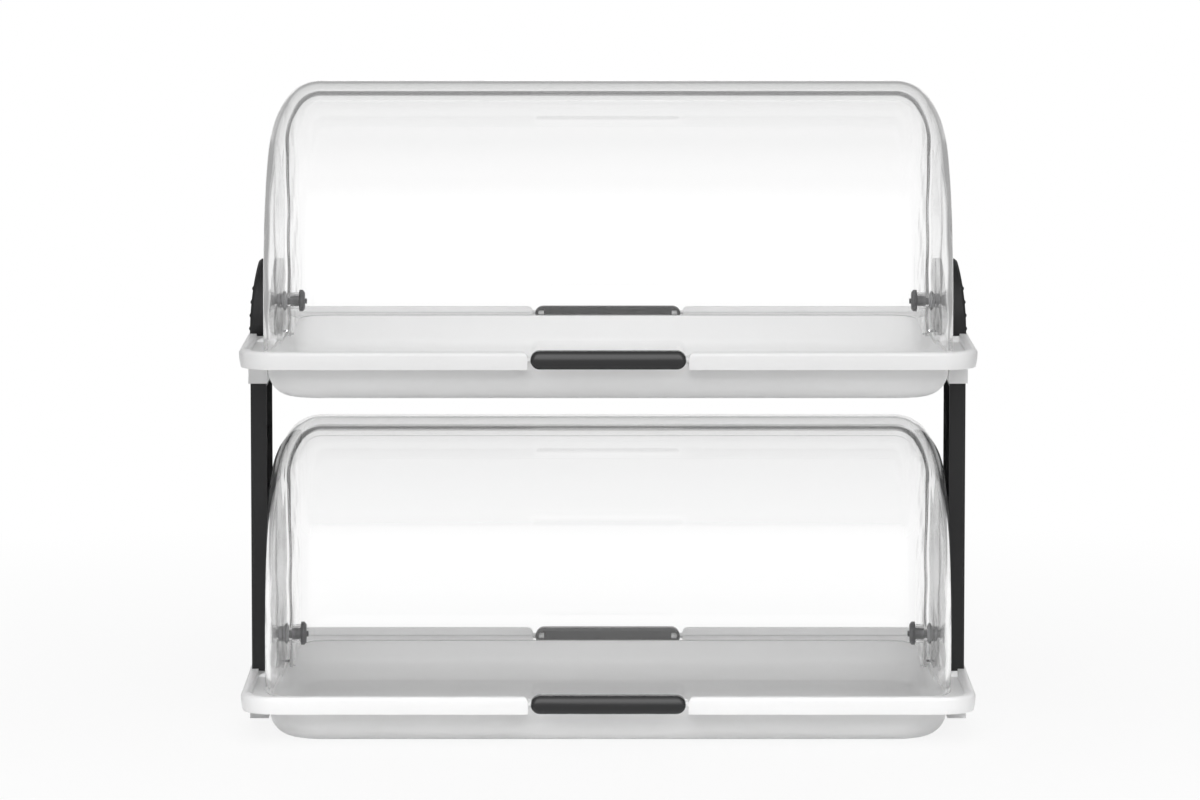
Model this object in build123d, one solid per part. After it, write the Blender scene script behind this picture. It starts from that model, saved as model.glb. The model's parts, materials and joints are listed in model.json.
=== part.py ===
from build123d import *
import math
import os

# Countertop bread display bin. Two identical white trays stand one above the other on two
# side columns. Each tray carries a roll-top hood of two nested clear covers that turn past
# each other about one cross axis. Millimetres, +Z up, +X to the right, front towards -Y,
# origin on the standing plane under the middle of the lower tray.

# Tray
tray_length = 500.0         # over the rim, along X
tray_depth = 350.0          # over the rim, along Y
tray_corner = 26.0          # plan radius of the rim
tray_height = 36.0          # standing face to rim top
tier_pitch = 234.5          # standing face of one tray to that of the next
skin = 2.4                  # moulded wall of the tray
rim_width = 6.5             # raised rim, outer face to inner face
rim_fillet = 2.6            # outer top edge of the rim
lip_height = 12.0           # rim top down to the lower edge of the outer lip
ledge_drop = 5.5            # rim top down to the ledge under the covers
side_ledge = 19.0           # rim's outer face to the basin's inside, at the sides
end_ledge = 34.0            # the same at the front and rear
basin_corner = 36.0         # inside plan radius, at the ledge
basin_draft = 4.0           # degrees
basin_bottom_radius = 17.0  # outside, wall into floor
foot_width = 8.0            # standing ring round the raised floor
foot_height = 1.0

# Hand openings at the front and rear of each tray
opening_length = 108.8      # between the rim ends
rim_end_radius = 4.5
peg_radius = 2.0
peg_length = 8.0            # out of the rim end, through the handle's end wall

# Bar handles in the hand openings
grip_end_gap = 1.9          # handle's end to the rim end
grip_height = 12.4
grip_depth = 10.0
grip_wall = 2.2
grip_fillet = 3.0
grip_rise = 0.6             # handle top above the rim top
grip_proud = 0.3            # handle face in front of the rim
grip_rib = 1.6
grip_rib_pitch = 37.0
grip_rib_setback = 2.0
peg_clearance = 0.15

# Side sockets of each tray
socket_setback = 0.4        # rim's outer face to the block's
socket_width = 13.0         # along X
socket_depth = 82.0         # along Y
socket_rise = 1.2           # standing face up to the underside of the block
socket_wall = 2.0
socket_web = 3.0            # floor between the lower and the upper pocket
pad_drop = 1.7              # rim top down to the pad under a column or cap
tongue_side_gap = 0.2
tongue_end_gap = 0.6
tongue_wall = 1.8

# Columns
column_setback = 1.4        # socket block's outer face to the column's
column_width = 11.2         # along X, to the free edges of the flanges
column_margin = 1.0         # less than the socket block at each end, along Y
column_wall = 2.2
column_corner = 1.4
column_rib = 1.8
column_rib_setback = 2.6
column_rib_pitch = 40.0

# Side caps on the upper tray
cap_setback = 1.2           # socket block's outer face to the cap's
cap_width = 10.4            # along X
cap_shoulder = 10.5         # pad up to the centre of the arch
cap_lean = 5.0              # the outer face leans in this far at the top
cap_wall = 2.4
cap_edge = 1.6              # bevel round the arch
cap_rib = 1.8
ridge_count = 4
ridge_pitch = 9.1
ridge_first = 4.7           # above the pad
ridge_radius = 1.8
ridge_proud = 0.8
ridge_margin = 5.0

# Hoods
pivot_rise = 19.4           # pivot axis above the rim top
cover_wall = 3.0
cover_seat_gap = 0.3        # closed cover above the ledge
hood_side_gap = 8.0         # rim's inner face to the front cover's side
hood_end_gap = 14.5         # rim's inner face to the front cover's crown
side_arc_radius = 55.0      # the side bends into the crown on two tangent arcs
side_arc_angle = 39.4       # degrees of the quarter turn that the side arc takes
crown_arc_radius = 29.0
nest_gap = 4.5              # inside of the front cover to the outside of the rear one
cover_overlap = 12.0        # each cover reaches this far past the pivot plane
bead_depth = 6.0            # turned-in edge, measured from the outer face
bead_width = 3.0
boss_radius = 6.5
boss_length = 7.3

# Pivots
pin_radius = 4.0
pin_running_gap = 0.08      # rear cover's boss on the pin
pin_head_radius = 8.0
pin_head_length = 4.6
pin_head_bevel = 1.8
pin_key = 3.6
pin_key_length = 1.6
bush_flange_radius = 7.5
bush_flange_width = 2.2
bush_flange_taper = 1.4
bush_hub_radius = 5.2
bush_spigot_radius = 5.6
bush_running_gap = 0.08     # front cover on the bush
bush_bore_gap = 0.05        # bush on the pin
side_play = 0.3             # between faces that turn on each other

# Levels and places that follow from the sizes above
ledge = tray_height - ledge_drop
pad = tray_height - pad_drop
lip_bottom = tray_height - lip_height
pivot_level = tray_height + pivot_rise
basin_length = tray_length - 2 * side_ledge
basin_depth = tray_depth - 2 * end_ledge
basin_wall_out = basin_depth / 2 + skin
socket_outer = tray_length / 2 - socket_setback
socket_inner = socket_outer - socket_width
web_bottom = (socket_rise + pad - socket_web) / 2
web_top = web_bottom + socket_web
grip_length = opening_length - 2 * grip_end_gap
grip_level = tray_height + grip_rise - grip_height / 2
grip_middle = tray_depth / 2 + grip_proud - grip_depth / 2
column_outer = socket_outer - column_setback
column_inner = column_outer - column_width
column_depth = socket_depth - 2 * column_margin
cap_outer = socket_outer - cap_setback
cap_inner = cap_outer - cap_width
cap_top = pad + cap_shoulder + column_depth / 2
front_half_length = tray_length / 2 - rim_width - hood_side_gap
front_radius = tray_depth / 2 - rim_width - hood_end_gap
nest_inset = cover_wall + nest_gap
cover_drop = pivot_level - ledge - cover_seat_gap
tiers = {"lower": 0.0, "upper": tier_pitch}
sides = {"left": -1, "right": 1}
ends = {"front": -1, "rear": 1}


def rounded_prism(length, depth, corner, bottom, top):
    """Upright prism on a rounded rectangle about the Z axis."""
    plan = RectangleRounded(length, depth, corner)
    return Pos(0, 0, bottom) * extrude(plan, amount=top - bottom)


def box_between(x, y, z):
    """Box over three ranges, each given as a pair in either order."""
    size = [abs(b - a) for a, b in (x, y, z)]
    middle = [(a + b) / 2 for a, b in (x, y, z)]
    return Pos(*middle) * Box(*size)


def rod_along_x(start, stop, radius, y, z):
    """Round bar parallel to X."""
    middle = Pos((start + stop) / 2, y, z)
    return middle * Rot(0, 90, 0) * Cylinder(radius, abs(stop - start))


# Tray ------------------------------------------------------------------------------------

def basin_form(bottom, inset, bottom_radius):
    """Tapered basin from the ledge down, moved in by inset and rounded round the bottom edge."""
    plan = RectangleRounded(
        basin_length - 2 * inset, basin_depth - 2 * inset, basin_corner - inset
    )
    body = extrude(Pos(0, 0, ledge) * plan, amount=bottom - ledge, taper=basin_draft)
    return fillet(body.edges().group_by(Axis.Z)[0], bottom_radius)


def socket_block(side, bottom, top):
    """Solid block of one side socket between two levels."""
    half = socket_depth / 2
    return box_between((side * socket_inner, side * socket_outer), (-half, half), (bottom, top))


def rim_cavity():
    """Hollow under the ledge and up inside the raised rim, closed at openings and sockets."""
    length = tray_length - 2 * skin
    depth = tray_depth - 2 * skin
    cavity = rounded_prism(length, depth, tray_corner - skin, lip_bottom - skin, tray_height - skin)
    land = rim_width - skin
    cavity -= rounded_prism(
        tray_length - 2 * land, tray_depth - 2 * land, tray_corner - land, ledge - skin, tray_height
    )
    x_end = opening_length / 2 + skin
    for end in ends.values():
        y_range = (end * basin_wall_out, end * tray_depth / 2)
        cavity -= box_between((-x_end, x_end), y_range, (0, tray_height))
    for side in sides.values():
        cavity -= socket_block(side, 0, tray_height)
    return cavity


def opening_cutter(end):
    """Hand opening: a slot through rim and ledge whose top corners flare outwards."""
    height = lip_height + 2 * skin
    profile = Pos(0, tray_height + skin - height / 2) * Rectangle(opening_length, height)
    for side in sides.values():
        x_rim = side * opening_length / 2
        flare = Rectangle(rim_end_radius, rim_end_radius)
        flare = Pos(x_rim + side * rim_end_radius / 2, tray_height - rim_end_radius / 2) * flare
        round_end = Pos(x_rim + side * rim_end_radius, tray_height - rim_end_radius)
        profile += flare - round_end * Circle(rim_end_radius)
    reach = (tray_depth / 2 + skin - basin_wall_out) / 2
    cutter = extrude(Plane.XZ * profile, amount=reach, both=True)
    return Pos(0, end * (basin_wall_out + reach), 0) * cutter


def tray():
    """Rim, ledge and basin in one moulding, with hand openings, pegs and side sockets."""
    rim = rounded_prism(tray_length, tray_depth, tray_corner, lip_bottom, tray_height)
    rim = fillet(rim.edges().group_by(Axis.Z)[-1], rim_fillet)
    inner_corner = tray_corner - rim_width
    rim -= rounded_prism(
        tray_length - 2 * rim_width, tray_depth - 2 * rim_width, inner_corner, ledge, tray_height
    )
    body = rim - rim_cavity() + basin_form(0, -skin, basin_bottom_radius)
    body -= basin_form(foot_height + skin, 0, basin_bottom_radius - skin)
    ring = basin_bottom_radius + foot_width - skin
    body -= rounded_prism(
        basin_length - 2 * ring, basin_depth - 2 * ring, basin_corner, -foot_height, foot_height
    )
    half = socket_depth / 2
    for side in sides.values():
        body += socket_block(side, socket_rise, pad)
        body -= box_between(
            (side * socket_inner, side * tray_length), (-half, half), (pad, tray_height + skin)
        )
        pocket_x = (side * (socket_inner + socket_wall), side * (socket_outer - socket_wall))
        pocket_y = (socket_wall - half, half - socket_wall)
        body -= box_between(pocket_x, pocket_y, (0, web_bottom))
        body -= box_between(pocket_x, pocket_y, (web_top, tray_height))
    for end in ends.values():
        body -= opening_cutter(end)
        for side in sides.values():
            x_rim = side * (opening_length / 2 + skin / 2)
            x_tip = side * (opening_length / 2 - peg_length)
            body += rod_along_x(x_rim, x_tip, peg_radius, end * grip_middle, grip_level)
    return body


# Handle ----------------------------------------------------------------------------------

def slot_slab(length, height, y_range):
    """Slab with round ends, its outline in the XZ plane about the handle's middle line."""
    outline = Plane.XZ * SlotOverall(length, height)
    depth = abs(y_range[1] - y_range[0])
    slab = extrude(outline, amount=depth / 2, both=True)
    return Pos(0, sum(y_range) / 2, grip_level) * slab


def handle():
    """Front bar handle: a hollow bar open to the rear, with ribs and a hole in each end."""
    face = -tray_depth / 2 - grip_proud
    back = face + grip_depth
    bar = slot_slab(grip_length, grip_height, (face, back))
    bar = fillet(bar.edges().group_by(Axis.Y)[0], grip_fillet)
    floor = face + grip_wall
    hollow = slot_slab(grip_length - 2 * grip_wall, grip_height - 2 * grip_wall, (floor, back))
    for place in (-grip_rib_pitch, 0, grip_rib_pitch):
        x_range = (place - grip_rib / 2, place + grip_rib / 2)
        z_range = (grip_level - grip_height, grip_level + grip_height)
        hollow -= box_between(x_range, (face, back - grip_rib_setback), z_range)
    bar -= hollow
    hole = peg_radius + peg_clearance
    half = grip_length / 2
    for side in sides.values():
        inner = side * (half - 2 * grip_wall)
        bar -= rod_along_x(inner, side * (half + grip_wall), hole, -grip_middle, grip_level)
    return bar


# Column and side cap ---------------------------------------------------------------------

def tongue(pad_level, direction):
    """Hollow tongue that fills a socket pocket, up or down from the face it grows from."""
    x_range = (
        socket_inner + socket_wall + tongue_side_gap,
        socket_outer - socket_wall - tongue_side_gap,
    )
    half = socket_depth / 2 - socket_wall - tongue_side_gap
    depth = web_bottom - socket_rise - tongue_end_gap
    z_range = (pad_level, pad_level + direction * depth)
    block = box_between(x_range, (-half, half), z_range)
    x_core = (x_range[0] + tongue_wall, x_range[1] - tongue_wall)
    y_core = half - tongue_wall
    z_core = (pad_level + direction * tongue_wall, pad_level + direction * 2 * depth)
    return block - box_between(x_core, (-y_core, y_core), z_core)


def column():
    """Right-hand column: a channel open towards the hood, with slanting ribs inside."""
    top = tier_pitch + socket_rise
    half = column_depth / 2
    body = box_between((column_inner, column_outer), (-half, half), (pad, top))
    body = fillet(body.edges().filter_by(Axis.Z).group_by(Axis.X)[-1], column_corner)
    x_back = column_outer - column_wall
    y_core = half - column_wall
    z_core = (pad + column_wall, top - column_wall)
    core = box_between((column_inner, x_back), (-y_core, y_core), z_core)
    ribs = Part()
    rib_count = math.floor((z_core[1] - z_core[0]) / column_rib_pitch)
    thick = column_rib / math.cos(math.atan(column_rib_pitch / column_depth))
    for index in range(rib_count):
        low = z_core[0] + index * column_rib_pitch
        high = low + column_rib_pitch
        corners = [(-half, low), (half, high), (half, high + thick), (-half, low + thick)]
        outline = Plane.YZ * make_face(Polyline(*corners, close=True))
        rib = extrude(outline, amount=column_outer)
        ribs += rib & box_between((column_inner + column_rib_setback, column_outer), (-half, half), z_core)
    body -= core - ribs
    return body + tongue(pad, -1) + tongue(top, 1)


def cap_form(inset, bottom):
    """Arched cap body, its outer face leaning in towards the top, shrunk by inset."""
    radius = column_depth / 2 - inset
    centre = pad + cap_shoulder
    arch = Pos(0, (bottom + centre) / 2) * Rectangle(2 * radius, centre - bottom)
    arch += Pos(0, centre) * Circle(radius)
    prism = extrude(Plane.YZ * arch, amount=cap_outer)
    prism &= box_between((cap_inner, cap_outer), (-column_depth, column_depth), (bottom, cap_top))
    return prism & lean_form(inset)


def lean_radius():
    """Radius of the cap's outer face, upright at the pad and leaning in at the top."""
    rise = cap_top - pad
    return (rise ** 2 + cap_lean ** 2) / (2 * cap_lean)


def lean_form(inset):
    """Round body whose near side is the cap's leaning outer face."""
    radius = lean_radius() - inset
    centre = Pos(cap_outer - lean_radius(), 0, pad)
    return centre * Rot(90, 0, 0) * Cylinder(radius, 2 * column_depth)


def ridge(index):
    """One grip ridge across the cap's outer face."""
    height = ridge_first + index * ridge_pitch
    above_shoulder = max(0, height - cap_shoulder)
    half = math.sqrt((column_depth / 2) ** 2 - above_shoulder ** 2) - ridge_margin
    face = cap_outer - lean_radius() + math.sqrt(lean_radius() ** 2 - height ** 2)
    centre = Pos(face + ridge_proud - ridge_radius, 0, pad + height)
    return centre * Rot(90, 0, 0) * Cylinder(ridge_radius, 2 * half)


def side_cap():
    """Right-hand cap over an upper socket: an arched shell with grip ridges outside."""
    body = cap_form(0, pad)
    outer_edges = body.edges().filter_by(lambda edge: edge.center().X > cap_outer - cap_lean)
    arch_edges = outer_edges.filter_by(lambda edge: edge.center().Z > pad + cap_edge)
    body = chamfer(arch_edges, cap_edge)
    for index in range(ridge_count):
        body += ridge(index)
    hollow = cap_form(cap_wall, pad + cap_wall)
    body -= hollow - box_between((0, tray_length), (-cap_rib / 2, cap_rib / 2), (0, cap_top))
    return body + tongue(pad, -1)


# Covers ----------------------------------------------------------------------------------

def barrel(inset):
    """Outer form of the front cover as a solid of revolution about X, moved in by inset."""
    side_x = front_half_length - inset
    crown_r = front_radius - inset
    turn = math.radians(side_arc_angle)
    step = side_arc_radius - crown_arc_radius
    crown_centre_r = front_radius - crown_arc_radius
    side_centre_r = crown_centre_r - step * math.sin(turn)
    side_centre_x = front_half_length - side_arc_radius
    crown_centre_x = side_centre_x + step * math.cos(turn)
    side_arc = CenterArc(
        (side_centre_x, side_centre_r), side_arc_radius - inset, 0, side_arc_angle
    )
    crown_arc = CenterArc(
        (crown_centre_x, crown_centre_r), crown_arc_radius - inset, side_arc_angle, 90 - side_arc_angle
    )
    right = [Line((side_x, 0), side_arc @ 0), side_arc, crown_arc, Line(crown_arc @ 1, (0, crown_r))]
    left = [mirror(edge, Plane.YZ) for edge in right]
    axis_line = Line((-side_x, 0), (side_x, 0))
    return revolve(make_face(right + left + [axis_line]), Axis.X, 360)


def side_view():
    """Part of the barrel that the front cover keeps, seen along X, as a long prism."""
    reach = 2 * front_radius
    view = Pos((cover_overlap - reach) / 2, reach / 2) * Rectangle(cover_overlap + reach, reach)
    view += Pos(-reach / 2, -cover_drop / 2) * Rectangle(reach, cover_drop)
    heel = Circle(cover_drop) & Pos(cover_overlap - reach / 2, 0) * Rectangle(reach, reach)
    return extrude(Plane.YZ * (view + heel), amount=tray_length, both=True)


def cover(inset):
    """Clear cover that opens from the front, moved in by inset, its inner edge turned in."""
    outer = barrel(inset)
    shell = outer - barrel(inset + cover_wall)
    bead = outer - barrel(inset + bead_depth)
    reach = (-tray_length, tray_length)
    bead &= box_between(reach, (cover_overlap - bead_width, cover_overlap), reach)
    return (shell + bead) & side_view()


def front_cover():
    """Outer cover, bored at both sides to turn on the bushes."""
    bore = bush_spigot_radius + bush_running_gap
    return cover(0) - rod_along_x(-tray_length, tray_length, bore, 0, 0)


def rear_cover():
    """Inner cover, with a boss inside each side that turns on a pin."""
    body = mirror(cover(nest_inset), Plane.XZ)
    inner_face = front_half_length - nest_inset - cover_wall
    bore = pin_radius + pin_running_gap
    for side in sides.values():
        tip = side * (inner_face - boss_length)
        body += rod_along_x(tip, side * (inner_face + cover_wall / 2), boss_radius, 0, 0)
    return body - rod_along_x(-tray_length, tray_length, bore, 0, 0)


# Pivots ----------------------------------------------------------------------------------

def pivot_pin():
    """Right-hand pin: its head inside the hood, its shank out through boss and bush."""
    seat = front_half_length - nest_inset - cover_wall - boss_length - side_play
    head = rod_along_x(seat - pin_head_length, seat, pin_head_radius, 0, 0)
    head = chamfer(head.edges().group_by(Axis.X)[0], pin_head_bevel)
    shank = rod_along_x(seat, front_half_length, pin_radius, 0, 0)
    half = pin_key / 2
    key_x = (seat - pin_head_length - pin_key_length, seat)
    return head + shank + box_between(key_x, (-half, half), (-half, half))


def pivot_bush():
    """Right-hand bush: hub and flange between the two covers, a spigot in the outer one."""
    start = front_half_length - nest_inset + side_play
    shoulder = front_half_length - cover_wall - side_play
    flange = rod_along_x(shoulder - bush_flange_width, shoulder, bush_flange_radius, 0, 0)
    flange = chamfer(flange.edges().group_by(Axis.X)[0], bush_flange_taper)
    bush = flange + rod_along_x(start, shoulder, bush_hub_radius, 0, 0)
    bush += rod_along_x(start, front_half_length, bush_spigot_radius, 0, 0)
    return bush - rod_along_x(0, tray_length, pin_radius + bush_bore_gap, 0, 0)


# Assembly --------------------------------------------------------------------------------

def both_sides(piece, name):
    """A right-hand piece and its mirror image, by node name."""
    return {f"left_{name}": mirror(piece, Plane.YZ), f"right_{name}": piece}


def assembly():
    """Every piece of the bin in its place, by node name."""
    nodes = {}
    one_tray = tray()
    front_handle = handle()
    pivots = both_sides(pivot_pin(), "pivot_pin") | both_sides(pivot_bush(), "pivot_bush")
    outer, inner = front_cover(), rear_cover()
    for tier, level in tiers.items():
        nodes[f"{tier}_tray"] = Pos(0, 0, level) * one_tray
        nodes[f"{tier}_front_handle"] = Pos(0, 0, level) * front_handle
        nodes[f"{tier}_rear_handle"] = Pos(0, 0, level) * mirror(front_handle, Plane.XZ)
        axis = Pos(0, 0, level + pivot_level)
        nodes[f"{tier}_front_cover"] = axis * outer
        nodes[f"{tier}_rear_cover"] = axis * inner
        for name, piece in pivots.items():
            nodes[f"{tier}_{name}"] = axis * piece
    nodes |= both_sides(column(), "column")
    for name, piece in both_sides(side_cap(), "side_cap").items():
        nodes[name] = Pos(0, 0, tier_pitch) * piece
    return nodes


os.makedirs("parts", exist_ok=True)
for name, piece in assembly().items():
    export_step(piece, f"parts/{name}.step")
    print(name, len(piece.solids()), round(piece.volume))
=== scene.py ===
import bpy
import bmesh
import json
import math
import numpy as np
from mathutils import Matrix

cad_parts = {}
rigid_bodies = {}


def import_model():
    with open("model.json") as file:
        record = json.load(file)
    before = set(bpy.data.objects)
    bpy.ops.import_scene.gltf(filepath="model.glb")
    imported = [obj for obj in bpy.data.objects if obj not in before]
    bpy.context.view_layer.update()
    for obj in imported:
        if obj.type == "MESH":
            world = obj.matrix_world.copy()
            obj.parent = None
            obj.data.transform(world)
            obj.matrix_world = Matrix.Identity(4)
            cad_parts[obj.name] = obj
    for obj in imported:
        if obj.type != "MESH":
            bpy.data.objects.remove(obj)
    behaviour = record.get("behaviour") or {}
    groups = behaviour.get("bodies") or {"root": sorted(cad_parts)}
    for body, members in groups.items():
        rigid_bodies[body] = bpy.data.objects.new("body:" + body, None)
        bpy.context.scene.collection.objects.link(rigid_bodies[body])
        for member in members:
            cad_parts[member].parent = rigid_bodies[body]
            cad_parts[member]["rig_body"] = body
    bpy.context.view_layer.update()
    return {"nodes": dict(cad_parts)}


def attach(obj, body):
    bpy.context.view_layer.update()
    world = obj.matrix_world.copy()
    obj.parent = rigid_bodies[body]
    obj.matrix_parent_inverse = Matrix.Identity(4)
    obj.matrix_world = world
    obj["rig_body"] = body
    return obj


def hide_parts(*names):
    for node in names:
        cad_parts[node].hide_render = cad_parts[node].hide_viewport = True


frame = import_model()
nodes = frame["nodes"]
tiers = {"lower": 0.0, "upper": 0.2345}      # standing height of each tray, metres
tierPivot = 0.0554                           # hood axis above the tray's standing plane


# The camera looks down by 6 degrees, from higher than the object's top.
view = {"place": (-0.0056, -4.5909, 0.7025), "pitchDown": 6.0, "lens": 197.8, "sensor": 36.0,
        "farClip": 100.0}
cameraData = bpy.data.cameras.new("camera")
cameraData.lens = view["lens"]
cameraData.sensor_width = view["sensor"]
cameraData.clip_end = view["farClip"]
camera = bpy.data.objects.new("camera", cameraData)
camera.location = view["place"]
camera.rotation_euler = (math.radians(90.0 - view["pitchDown"]), 0.0, 0.0)
bpy.context.scene.collection.objects.link(camera)
bpy.context.scene.camera = camera
bpy.context.scene.view_settings.view_transform = "Standard"
# The clear walls guide light along themselves, so the rays need many turns.
bounces = {"max_bounces": 28, "glossy_bounces": 20, "transmission_bounces": 24}
for name, count in bounces.items():
    setattr(bpy.context.scene.cycles, name, count)
print("camera set")

pureWhite = (1.0, 1.0, 1.0, 1.0)


def linear(hexColour):
    # sRGB hex to linear: below 0.04045 a straight line, above it a 2.4 power
    parts = [int(hexColour[i:i + 2], 16) / 255.0 for i in (1, 3, 5)]
    return [c / 12.92 if c <= 0.04045 else ((c + 0.055) / 1.055) ** 2.4 for c in parts] + [1.0]


def addNode(tree, kind, settings=None, sockets=None, links=None):
    # settings are the node's own properties, sockets its constant inputs, links its wired inputs
    node = tree.nodes.new(kind)
    for key, value in (settings or {}).items():
        setattr(node, key, value)
    for key, value in (sockets or {}).items():
        node.inputs[key].default_value = value
    for key, source in (links or {}).items():
        tree.links.new(source, node.inputs[key])
    return node


def addMath(tree, operation, first, second=None):
    # one calculation of one or two inputs, each a number or another node's output
    inputs = {i: value for i, value in enumerate((first, second)) if value is not None}
    numbers = {i: value for i, value in inputs.items() if isinstance(value, (int, float))}
    wires = {i: value for i, value in inputs.items() if i not in numbers}
    return addNode(tree, "ShaderNodeMath", {"operation": operation}, numbers, wires).outputs[0]


def newMaterial(name):
    material = bpy.data.materials.new(name)
    material.use_nodes = True
    material.node_tree.nodes.clear()
    return material, material.node_tree


# What all moulded plastics share: the noises' detail, and how far the grain varies the roughness.
moulding = {"grainDetail": 3.0, "grainRoughness": 0.6, "waveDetail": 1.0,
            "lowShare": 0.85, "highShare": 1.15}


def mouldedPlastic(name, look):
    # Injection-moulded plastic: a fine tool texture breaks up the gloss, and slow waves of the
    # cooling skin bend long highlights a little.
    material, tree = newMaterial(name)
    place = addNode(tree, "ShaderNodeTexCoord").outputs["Object"]
    grain = addNode(tree, "ShaderNodeTexNoise", None,
                    {"Scale": 1.0 / look["grainSize"], "Detail": moulding["grainDetail"],
                     "Roughness": moulding["grainRoughness"]}, {"Vector": place})
    waves = addNode(tree, "ShaderNodeTexNoise", None,
                    {"Scale": 1.0 / look["waveSize"], "Detail": moulding["waveDetail"]},
                    {"Vector": place})
    roughness = addNode(tree, "ShaderNodeMapRange", None,
                        {"To Min": look["roughness"] * moulding["lowShare"],
                         "To Max": look["roughness"] * moulding["highShare"]},
                        {"Value": grain.outputs["Fac"]})
    tint = addNode(tree, "ShaderNodeMix", {"data_type": "RGBA"},
                   {6: linear(look["colour"]), 7: linear(look["otherColour"])},
                   {"Factor": waves.outputs["Fac"]})
    slow = addNode(tree, "ShaderNodeBump", None,
                   {"Strength": look["waveStrength"], "Distance": look["waveHeight"]},
                   {"Height": waves.outputs["Fac"]})
    fine = addNode(tree, "ShaderNodeBump", None,
                   {"Strength": look["grainStrength"], "Distance": look["grainHeight"]},
                   {"Height": grain.outputs["Fac"], "Normal": slow.outputs["Normal"]})
    shader = addNode(tree, "ShaderNodeBsdfPrincipled", None,
                     {"IOR": look["ior"], "Specular IOR Level": look["specular"]},
                     {"Base Color": tint.outputs[2], "Roughness": roughness.outputs["Result"],
                      "Normal": fine.outputs["Normal"]})
    addNode(tree, "ShaderNodeOutputMaterial", None, None, {"Surface": shader.outputs["BSDF"]})
    return material


trayLook = {"colour": "#f6f6f6", "otherColour": "#f3f3f3", "roughness": 0.38, "ior": 1.53,
            "specular": 0.5, "grainSize": 0.0009, "grainHeight": 0.00004, "grainStrength": 0.35,
            "waveSize": 0.06, "waveHeight": 0.0004, "waveStrength": 0.12}
gripLook = {"colour": "#0f0f10", "otherColour": "#131314", "roughness": 0.25, "ior": 1.52,
            "specular": 0.46, "grainSize": 0.0006, "grainHeight": 0.00003, "grainStrength": 0.4,
            "waveSize": 0.03, "waveHeight": 0.0002, "waveStrength": 0.1}
standLook = {"colour": "#171718", "otherColour": "#1b1b1c", "roughness": 0.52, "ior": 1.52,
             "specular": 0.3, "grainSize": 0.0007, "grainHeight": 0.00006, "grainStrength": 0.6,
             "waveSize": 0.05, "waveHeight": 0.0003, "waveStrength": 0.1}
pivotLook = {"colour": "#48484a", "otherColour": "#505052", "roughness": 0.3, "ior": 1.48,
             "specular": 0.5, "grainSize": 0.0006, "grainHeight": 0.00003, "grainStrength": 0.3,
             "waveSize": 0.02, "waveHeight": 0.0002, "waveStrength": 0.1}
bushLook = {**pivotLook, "colour": "#a4a4a6", "otherColour": "#aeaeb0", "roughness": 0.36}
whiteAbs = mouldedPlastic("white_satin_abs", trayLook)
gripAbs = mouldedPlastic("black_gloss_abs", gripLook)
standAbs = mouldedPlastic("black_grained_abs", standLook)
bushAcetal = mouldedPlastic("grey_acetal", bushLook)
pivotAcetal = mouldedPlastic("dark_acetal", pivotLook)

clearLook = {"colour": "#ffffff", "roughness": 0.01, "ior": 1.52, "waveSize": 0.11,
             "waveHeight": 0.0005, "waveStrength": 0.06, "shadowTint": "#f7f7f7",
             "mirrorTint": "#cbcbcb", "depthColour": "#bbbbbb", "depthDensity": 5.0, "bounces": 8.0}


def clearSan(name, look):
    # Polished SAN, clear as glass, with reflections a little weaker than glass has. Lamp rays pass
    # straight through to what lies inside, and so do rays that have turned more often than the
    # look's bounces, as small flaws would let them out. The wall's own grey shows along its depth.
    material, tree = newMaterial(name)
    place = addNode(tree, "ShaderNodeTexCoord").outputs["Object"]
    waves = addNode(tree, "ShaderNodeTexNoise", None,
                    {"Scale": 1.0 / look["waveSize"], "Detail": 0.0}, {"Vector": place})
    bump = addNode(tree, "ShaderNodeBump", None,
                   {"Strength": look["waveStrength"], "Distance": look["waveHeight"]},
                   {"Height": waves.outputs["Fac"]})
    shader = addNode(tree, "ShaderNodeBsdfPrincipled", None,
                     {"Base Color": linear(look["colour"]), "Roughness": look["roughness"],
                      "IOR": look["ior"], "Specular Tint": linear(look["mirrorTint"]),
                      "Transmission Weight": 1.0},
                     {"Normal": bump.outputs["Normal"]})
    straight = addNode(tree, "ShaderNodeBsdfTransparent", None,
                       {"Color": linear(look["shadowTint"])})
    rays = addNode(tree, "ShaderNodeLightPath")
    trapped = addMath(tree, "GREATER_THAN", rays.outputs["Ray Depth"], look["bounces"])
    through = addMath(tree, "MAXIMUM", rays.outputs["Is Shadow Ray"], trapped)
    mix = addNode(tree, "ShaderNodeMixShader", None, None,
                  {0: through, 1: shader.outputs["BSDF"], 2: straight.outputs["BSDF"]})
    depth = addNode(tree, "ShaderNodeVolumeAbsorption", None,
                    {"Color": linear(look["depthColour"]), "Density": look["depthDensity"]})
    addNode(tree, "ShaderNodeOutputMaterial", None, None,
            {"Surface": mix.outputs["Shader"], "Volume": depth.outputs["Volume"]})
    return material


sanClear = clearSan("clear_san", clearLook)
print("materials made")


def meshObject(name, points, faces):
    mesh = bpy.data.meshes.new(name)
    mesh.from_pydata(points.tolist(), [], faces)
    mesh.update()
    made = bpy.data.objects.new(name, mesh)
    bpy.context.scene.collection.objects.link(made)
    return made


def getPoints(piece):
    points = np.empty(len(piece.data.vertices) * 3)
    piece.data.vertices.foreach_get("co", points)
    return points.reshape(-1, 3)


def setPoints(piece, points):
    piece.data.vertices.foreach_set("co", points.ravel())
    piece.data.update()


def gridFaces(rows, columns, closed):
    # quads between neighbouring rows and columns, joined round from the last column to the first
    index = np.arange(rows * columns).reshape(rows, columns)
    across = np.roll(index, -1, axis=1) if closed else index[:, 1:]
    index = index if closed else index[:, :-1]
    quads = np.stack([index[:-1], index[1:], across[1:], across[:-1]], axis=-1)
    return quads.reshape(-1, 4).tolist()


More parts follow.
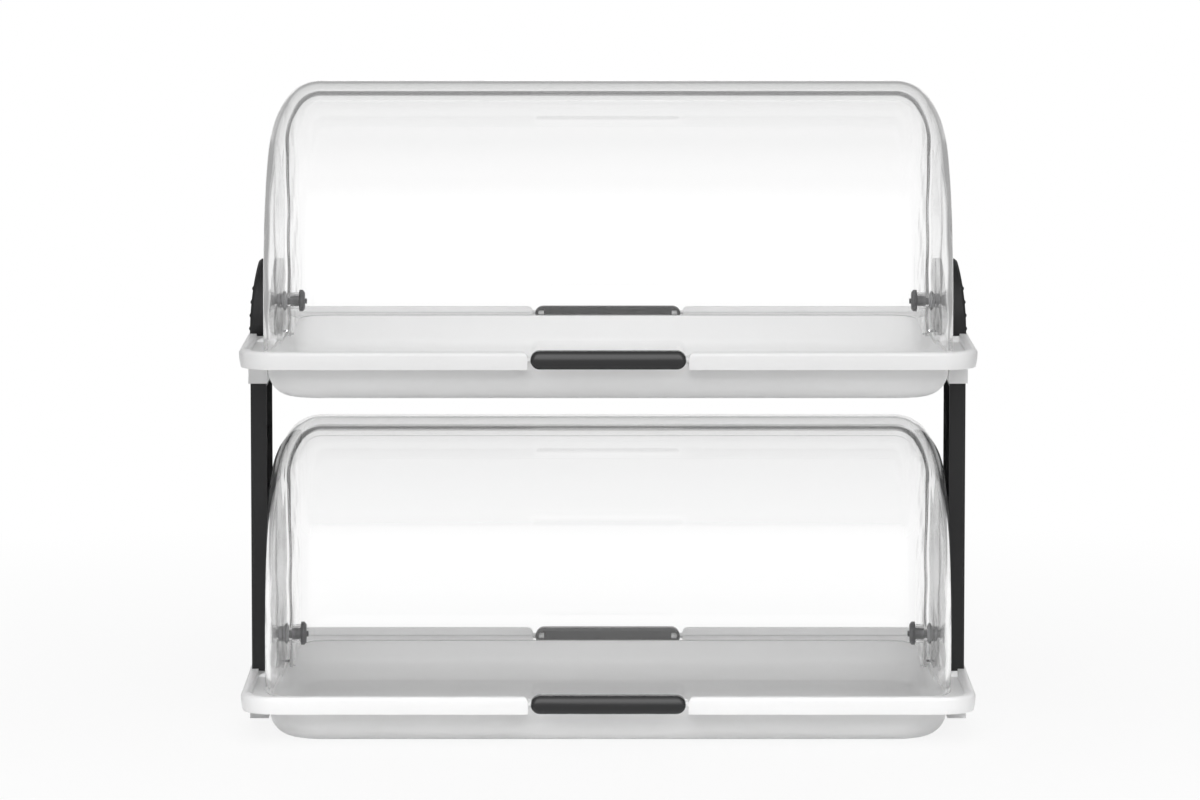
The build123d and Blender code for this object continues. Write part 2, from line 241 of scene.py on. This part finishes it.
def combine(body, cutter, operation):
    # one exact Boolean, baked into the body's mesh, and the cutter is removed
    modifier = body.modifiers.new("combine", "BOOLEAN")
    modifier.operation = operation
    modifier.solver = "EXACT"
    modifier.object = cutter
    graph = bpy.context.evaluated_depsgraph_get()
    baked = bpy.data.meshes.new_from_object(body.evaluated_get(graph))
    body.modifiers.clear()
    old = body.data
    body.data = baked
    bpy.data.meshes.remove(old)
    bpy.data.objects.remove(cutter)
    return body


def finishPiece(piece, material, body, nodeName, sharpAngle=32.0):
    piece.data.materials.clear()
    piece.data.materials.append(material)
    piece.data.shade_smooth()
    piece.data.set_sharp_from_angle(angle=math.radians(sharpAngle))
    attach(piece, body)
    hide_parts(nodeName)


# Hoods: two clear covers on each tray, both worked out from one barrel form.
hood = {"halfLength": 0.2355, "radius": 0.154, "sideArc": 0.055, "sideArcTurn": 39.4,
        "crownArc": 0.029, "wall": 0.003, "nestInset": 0.0075, "overlap": 0.012,
        "beadDepth": 0.006, "beadWidth": 0.003, "drop": 0.0246, "bushBore": 0.00568,
        "bossRadius": 0.0065, "bossLength": 0.0073, "pinBore": 0.00408,
        "turnSteps": 240, "flatSteps": 10, "arcSteps": 16, "crownSteps": 9, "flatStart": 0.02,
        "heelSteps": 14, "boreSteps": 72, "waveLength": 0.008, "unevenness": 0.00006,
        "depthShare": 0.4, "heightShare": 1.7, "waveShifts": (0.0007, 0.0011)}


def barrel(name, inset):
    # Surface of revolution about X. The outer profile runs up the flat side, round the side arc
    # and the tighter crown arc, along the crown and down again: r and x of both arcs are centre +
    # radius times sine and cosine. Each point then moves in along the profile's normal by the
    # inset. Barrels with an inset are uneven too, by two crossing sine waves of height and depth.
    turn = math.radians(hood["sideArcTurn"])
    step = hood["sideArc"] - hood["crownArc"]
    crownR = hood["radius"] - hood["crownArc"]
    sideR = crownR - step * math.sin(turn)
    sideX = hood["halfLength"] - hood["sideArc"]
    crownX = sideX + step * math.cos(turn)
    flatR = np.concatenate([[0.0], np.linspace(hood["flatStart"], sideR, hood["flatSteps"])[:-1]])
    sideAngle = np.linspace(0.0, turn, hood["arcSteps"])
    crownAngle = np.linspace(turn, math.pi / 2, hood["arcSteps"])[1:]
    angle = np.concatenate([np.zeros(len(flatR)), sideAngle, crownAngle])
    x = np.concatenate([np.full(len(flatR), hood["halfLength"]),
                        sideX + hood["sideArc"] * np.cos(sideAngle),
                        crownX + hood["crownArc"] * np.cos(crownAngle)])
    r = np.concatenate([flatR, sideR + hood["sideArc"] * np.sin(sideAngle),
                        crownR + hood["crownArc"] * np.sin(crownAngle)])
    across = np.linspace(x[-1], -x[-1], hood["crownSteps"])[1:-1]
    x = np.concatenate([x, across, -x[::-1]])
    r = np.concatenate([r, np.full(len(across), r[-1]), r[::-1]])
    normalX = np.concatenate([np.cos(angle), np.zeros(len(across)), -np.cos(angle[::-1])])
    normalR = np.concatenate([np.sin(angle), np.ones(len(across)), np.sin(angle[::-1])])
    around = np.linspace(0.0, 2 * math.pi, hood["turnSteps"], endpoint=False)
    depth, height = r[:, None] * np.cos(around), r[:, None] * np.sin(around)
    length, (shift, otherShift) = hood["waveLength"], hood["waveShifts"]
    waves = (np.sin((height + hood["depthShare"] * depth) / length + inset / shift)
             + np.sin((hood["heightShare"] * height - depth) / length + inset / otherShift)) / 2
    moved = inset + hood["unevenness"] * waves * (inset > 0.0)
    radius = np.maximum(r[:, None] - moved * normalR[:, None], 0.0)
    sides = np.broadcast_arrays(x[:, None] - moved * normalX[:, None],
                                radius * np.cos(around), radius * np.sin(around))
    points = np.stack(sides, axis=-1)
    made = meshObject(name, points.reshape(-1, 3), gridFaces(len(x), len(around), True))
    return mergeDoubles(made)


def mergeDoubles(piece, distance=1e-6):
    # welds vertices that lie on one another and drops the faces that this closes
    work = bmesh.new()
    work.from_mesh(piece.data)
    bmesh.ops.remove_doubles(work, verts=work.verts, dist=distance)
    bmesh.ops.dissolve_degenerate(work, edges=work.edges, dist=distance)
    bmesh.ops.recalc_face_normals(work, faces=work.faces)
    work.to_mesh(piece.data)
    work.free()
    return piece


def prismAlongX(name, outline, start, stop):
    # a closed outline of y and z carried straight along X, with flat ends
    outline = np.asarray(outline, float)
    count = len(outline)
    x = np.repeat([start, stop], count)
    points = np.column_stack([x, np.tile(outline, (2, 1))])
    caps = [list(range(count)), list(range(2 * count - 1, count - 1, -1))]
    faces = gridFaces(2, count, True) + caps
    return mergeDoubles(meshObject(name, points, faces))


def sideView():
    # seen along X: everything in front of the overlap edge and above the closed cover's lower
    # edge, with a round heel about the pivot behind it
    start = -math.pi / 2
    stop = -math.acos(hood["overlap"] / hood["drop"])
    heel = np.linspace(start, stop, hood["heelSteps"])
    arc = np.column_stack([hood["drop"] * np.cos(heel), hood["drop"] * np.sin(heel)])
    far = 2 * hood["radius"]
    return np.vstack([[-far, -hood["drop"]], arc, [hood["overlap"], far], [-far, far]])


def disc(radius):
    angle = np.linspace(0.0, 2 * math.pi, hood["boreSteps"], endpoint=False)
    return np.column_stack([radius * np.cos(angle), radius * np.sin(angle)])


def coverShell(name, inset):
    # outer barrel less the inner one, which stops short of the edge where the bead is turned in
    far = 4 * hood["radius"]                      # well outside the barrel
    outline = prismAlongX("view", sideView(), -far, far)
    shell = combine(barrel(name, inset), outline, "INTERSECT")
    inside = hood["overlap"] - hood["beadWidth"]
    front = [(-far, -far), (inside, -far), (inside, far), (-far, far)]
    hollow = combine(barrel("hollow", inset + hood["wall"]),
                     prismAlongX("front", front, -far, far), "INTERSECT")
    shell = combine(shell, hollow, "DIFFERENCE")
    return combine(shell, barrel("bead", inset + hood["beadDepth"]), "DIFFERENCE")


def placed(source, name, mirrored, height):
    # a copy of a worked-out mesh, turned front to back if mirrored, raised to its place
    mesh = source.data.copy()
    mesh.name = name
    made = bpy.data.objects.new(name, mesh)
    bpy.context.scene.collection.objects.link(made)
    points = getPoints(made)
    points[:, 2] += height
    if mirrored:
        points[:, 1] *= -1.0
        mesh.flip_normals()
    setPoints(made, points)
    return made


def bored(form, radius):
    # a straight bore on the hood's axis, through both sides
    length = 2 * hood["halfLength"]
    return combine(form, prismAlongX("bore", disc(radius), -length, length), "DIFFERENCE")


frontForm = bored(coverShell("front_form", 0.0), hood["bushBore"])
rearForm = coverShell("rear_form", hood["nestInset"])
innerFace = hood["halfLength"] - hood["nestInset"] - hood["wall"]
for side in (-1, 1):
    ends = sorted((side * (innerFace - hood["bossLength"]), side * (innerFace + hood["wall"] / 2)))
    rearForm = combine(rearForm, prismAlongX("boss", disc(hood["bossRadius"]), *ends), "UNION")
rearForm = bored(rearForm, hood["pinBore"])
for tier, level in tiers.items():
    for form, half, mirrored in ((frontForm, "front", False), (rearForm, "rear", True)):
        coverName = f"{tier}_{half}_cover"       # its node and its body have the same name
        cover = placed(form, coverName + "_clear", mirrored, level + tierPivot)
        finishPiece(cover, sanClear, coverName, coverName)
for form in (frontForm, rearForm):
    bpy.data.objects.remove(form)
print("covers made")


# Trays: the construction's form, with the lip's outer face crowned as the tool draws it.
tray = {"halfLength": 0.25, "halfDepth": 0.175, "corner": 0.026, "height": 0.036,
        "lipHeight": 0.012, "topRound": 0.0026, "crown": 0.0013, "strips": 7, "nearFace": 1e-4}


def cutLevels(piece, heights):
    # new edges round the piece at each height, so that its flat sides can be curved
    work = bmesh.new()
    work.from_mesh(piece.data)
    for height in heights:
        bmesh.ops.bisect_plane(work, geom=work.verts[:] + work.edges[:] + work.faces[:],
                               plane_co=(0.0, 0.0, height), plane_no=(0.0, 0.0, 1.0))
    work.to_mesh(piece.data)
    work.free()


def crownLip(piece, level):
    # The outer face is cut into level strips and drawn in below the rim's round: the inset is the
    # crown times the square of t, which runs from 0 under the round to 1 at the lip's lower edge.
    top = level + tray["height"] - tray["topRound"]
    bottom = level + tray["height"] - tray["lipHeight"]
    cutLevels(piece, np.linspace(bottom, top, tray["strips"])[1:-1])
    points = getPoints(piece)
    straight = np.array([tray["halfLength"], tray["halfDepth"]]) - tray["corner"]
    beyond = np.maximum(np.abs(points[:, :2]) - straight, 0.0)
    distance = np.hypot(beyond[:, 0], beyond[:, 1])
    outside = ((distance > tray["corner"] - tray["nearFace"]) & (points[:, 2] < top)
               & (points[:, 2] > bottom - tray["nearFace"]))
    t = np.where(outside, (top - points[:, 2]) / (top - bottom), 0.0)
    tiny = 1e-9                                  # keeps inner points from dividing by zero
    outward = np.sign(points[:, :2]) * beyond / np.maximum(distance, tiny)[:, None]
    points[:, :2] -= outward * (tray["crown"] * t ** 2)[:, None]
    setPoints(piece, points)


# Handles: the construction's bars, with the face that the fingers meet rounded over its height.
grip = {"crown": 0.0022, "faceDepth": 0.003, "strips": 11}


def crownGrip(piece):
    # The outer face is drawn in above and below its middle: the inset is the crown times the
    # square of t, the height from the middle over half the height. Behind the face it fades out.
    heights = getPoints(piece)[:, 2]
    middle, half = (heights.max() + heights.min()) / 2, (heights.max() - heights.min()) / 2
    cutLevels(piece, np.linspace(middle - half, middle + half, grip["strips"])[1:-1])
    points = getPoints(piece)
    away = np.abs(points[:, 1]).max() - np.abs(points[:, 1])
    share = np.clip(1.0 - away / grip["faceDepth"], 0.0, 1.0)
    t = (points[:, 2] - middle) / half
    points[:, 1] -= np.sign(points[:, 1]) * grip["crown"] * t ** 2 * share
    setPoints(piece, points)


# The moulded pieces start from the construction's own form, welded and shaded smooth.
finishes = {"tray": (whiteAbs, "tray_white"), "handle": (gripAbs, "grip_black"),
            "column": (standAbs, "stand_black"), "side_cap": (standAbs, "stand_black"),
            "pivot_pin": (pivotAcetal, "pivot_dark"), "pivot_bush": (bushAcetal, "pivot_dark")}
for nodeName, node in sorted(nodes.items()):
    for ending, (material, slotName) in finishes.items():
        if nodeName.endswith(ending):
            copy = bpy.data.objects.new(nodeName + "_moulding", node.data.copy())
            bpy.context.scene.collection.objects.link(copy)
            mergeDoubles(copy)
            if ending == "tray":
                crownLip(copy, tiers[nodeName.split("_")[0]])
            if ending == "handle":
                crownGrip(copy)
            finishPiece(copy, material, node["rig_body"], nodeName)
            even = copy.modifiers.new("even", "WEIGHTED_NORMAL")    # large faces keep flat shading
            even.keep_sharp = True
print("moulded pieces made")


# Studio: a sweep of white paper in a room that is white in front and grey behind, where the grey
# draws the outlines of the clear covers. A large soft lamp hangs high in front, a weaker one high
# behind, and a gridded one lights the floor before the lower tray.
studio = {"halfWidth": 1.25, "front": -0.55, "back": 4.0, "bendRadius": 1.0, "wallTop": 1.1,
          "floorSteps": 12, "bendSteps": 25, "acrossSteps": 9,
          "paperWhite": 0.93, "ownWhiteNear": 0.86, "nearEdge": 0.35, "farEdge": 1.1,
          "roomGrey": 0.39, "mirrorWhite": -0.25, "mirrorGrey": 0.1,
          "wallWhite": 0.74, "wallGrey": 0.82, "horizon": 0.05, "horizonTop": 0.25}


def paperSurface():
    # the profile runs back along the floor, round a quarter circle and up, and is carried along X
    floor = np.linspace(studio["front"], studio["back"], studio["floorSteps"])[:-1]
    bend = np.linspace(0.0, math.pi / 2, studio["bendSteps"])
    y = np.concatenate([floor, studio["back"] + studio["bendRadius"] * np.sin(bend),
                        [studio["back"] + studio["bendRadius"]]])
    z = np.concatenate([np.zeros(len(floor)), studio["bendRadius"] * (1 - np.cos(bend)),
                        [studio["wallTop"]]])
    x = np.linspace(-studio["halfWidth"], studio["halfWidth"], studio["acrossSteps"])
    points = np.stack(np.broadcast_arrays(x[None, :], y[:, None], z[:, None]), axis=-1)
    return meshObject("paper", points.reshape(-1, 3), gridFaces(len(y), len(x), False))


def whitePaper():
    # White studio paper. To camera, mirrored and let-through rays it is partly white by itself,
    # least near the object, and the rest is lit, so the shadow stays.
    material, tree = newMaterial("white_paper")
    rays = addNode(tree, "ShaderNodeLightPath")
    seen = addMath(tree, "MAXIMUM", rays.outputs["Is Camera Ray"], rays.outputs["Is Glossy Ray"])
    seen = addMath(tree, "MAXIMUM", seen, rays.outputs["Is Transmission Ray"])
    place = addNode(tree, "ShaderNodeTexCoord").outputs["Object"]
    away = addNode(tree, "ShaderNodeVectorMath", {"operation": "LENGTH"}, None, {0: place})
    own = addNode(tree, "ShaderNodeMapRange", None,
                  {"From Min": studio["nearEdge"], "From Max": studio["farEdge"],
                   "To Min": studio["ownWhiteNear"], "To Max": 1.0},
                  {"Value": away.outputs["Value"]})
    share = addMath(tree, "MULTIPLY", seen, own.outputs["Result"])
    colour = [studio["paperWhite"]] * 3 + [1.0]
    lit = addNode(tree, "ShaderNodeBsdfDiffuse", None, {"Color": colour})
    white = addNode(tree, "ShaderNodeEmission", None, {"Color": pureWhite, "Strength": 1.0})
    mix = addNode(tree, "ShaderNodeMixShader", None, None,
                  {0: share, 1: lit.outputs["BSDF"], 2: white.outputs["Emission"]})
    addNode(tree, "ShaderNodeOutputMaterial", None, None, {"Surface": mix.outputs["Shader"]})
    return material


paper = paperSurface()
paper.data.materials.append(whitePaper())
paper.data.shade_smooth()

lamps = {"key": {"place": (0.0, -2.6, 2.0), "aim": (0.0, 0.0, 0.2), "size": (3.2, 4.4),
                 "watts": 108.0, "edge": 0.3, "spread": 180.0, "mirrored": True},
         "back": {"place": (0.0, 2.6, 2.0), "aim": (0.0, 0.0, 0.2), "size": (3.2, 2.6),
                  "watts": 30.0, "edge": 0.3, "spread": 180.0, "mirrored": False},
         "low": {"place": (0.0, -1.0, 0.42), "aim": (0.0, -0.16, 0.0), "size": (2.2, 0.3),
                 "watts": 0.7, "edge": 0.2, "spread": 40.0, "mirrored": False}}


def softenEdges(light, edge):
    # The diffuser fades towards its edges. With the lamp's width as 1, its edge is 0.5 from the
    # middle, and the light falls from full to none over the edge width before that. The shares of
    # both directions are multiplied.
    light.use_nodes = True
    tree = light.node_tree
    tree.nodes.clear()
    spot = addNode(tree, "ShaderNodeSeparateXYZ", None, None,
                   {0: addNode(tree, "ShaderNodeNewGeometry").outputs["Parametric"]})
    fades = []
    for axis in (0, 1):
        fromMiddle = addMath(tree, "SUBTRACT", spot.outputs[axis], 0.5)
        fromMiddle = addMath(tree, "ABSOLUTE", fromMiddle)
        fades.append(addNode(tree, "ShaderNodeMapRange", {"interpolation_type": "SMOOTHSTEP"},
                             {"From Min": 0.5 - edge, "From Max": 0.5,
                              "To Min": 1.0, "To Max": 0.0},
                             {"Value": fromMiddle}))
    both = addMath(tree, "MULTIPLY", *(fade.outputs["Result"] for fade in fades))
    glow = addNode(tree, "ShaderNodeEmission", None, None, {"Strength": both})
    addNode(tree, "ShaderNodeOutputLight", None, None, {"Surface": glow.outputs["Emission"]})


for name, lamp in lamps.items():
    light = bpy.data.lights.new(name, "AREA")
    light.shape = "RECTANGLE"
    light.size, light.size_y = lamp["size"]
    light.energy = lamp["watts"]
    light.spread = math.radians(lamp["spread"])
    softenEdges(light, lamp["edge"])
    holder = bpy.data.objects.new(name, light)
    holder.visible_transmission = False        # what the covers let through comes by the lamp rays
    holder.visible_glossy = lamp["mirrored"]
    holder.location = lamp["place"]
    away = np.array(lamp["place"]) - np.array(lamp["aim"])
    flat = math.hypot(away[0], away[1])
    holder.rotation_euler = (math.atan2(flat, away[2]), 0.0, math.atan2(away[0], -away[1]))
    bpy.context.scene.collection.objects.link(holder)


def roomAir():
    # The room lights evenly as a grey one, and the camera sees it white. To mirrored rays, and to
    # let-through rays above the horizon, it is white in front and grey behind and above. Below the
    # horizon, let-through rays find it grey only straight behind. The direction's Y sets each.
    world = bpy.data.worlds.new("studio")
    world.use_nodes = True
    tree = world.node_tree
    tree.nodes.clear()
    direction = addNode(tree, "ShaderNodeSeparateXYZ", None, None,
                        {0: addNode(tree, "ShaderNodeTexCoord").outputs["Generated"]})
    rays = addNode(tree, "ShaderNodeLightPath")
    mirrored, through = (
        addNode(tree, "ShaderNodeMapRange", None,
                {"From Min": studio[kind + "Grey"], "From Max": studio[kind + "White"],
                 "To Min": studio["roomGrey"], "To Max": 1.0}, {"Value": direction.outputs[1]})
        for kind in ("mirror", "wall"))
    below = addNode(tree, "ShaderNodeMapRange", None,
                    {"From Min": studio["horizonTop"], "From Max": studio["horizon"]},
                    {"Value": direction.outputs[2]})
    below = addMath(tree, "MULTIPLY", below.outputs["Result"], rays.outputs["Is Transmission Ray"])
    clear = addNode(tree, "ShaderNodeMix", {"data_type": "FLOAT"}, None,
                    {0: below, 2: mirrored.outputs["Result"], 3: through.outputs["Result"]})
    strength = addNode(tree, "ShaderNodeMix", {"data_type": "FLOAT"}, {2: studio["roomGrey"]},
                       {0: rays.outputs["Is Glossy Ray"], 3: clear.outputs[0]})
    strength = addMath(tree, "MAXIMUM", strength.outputs[0], rays.outputs["Is Camera Ray"])
    air = addNode(tree, "ShaderNodeBackground", None, {"Color": pureWhite}, {"Strength": strength})
    addNode(tree, "ShaderNodeOutputWorld", None, None, {"Surface": air.outputs["Background"]})
    return world


bpy.context.scene.world = roomAir()
print("studio made")
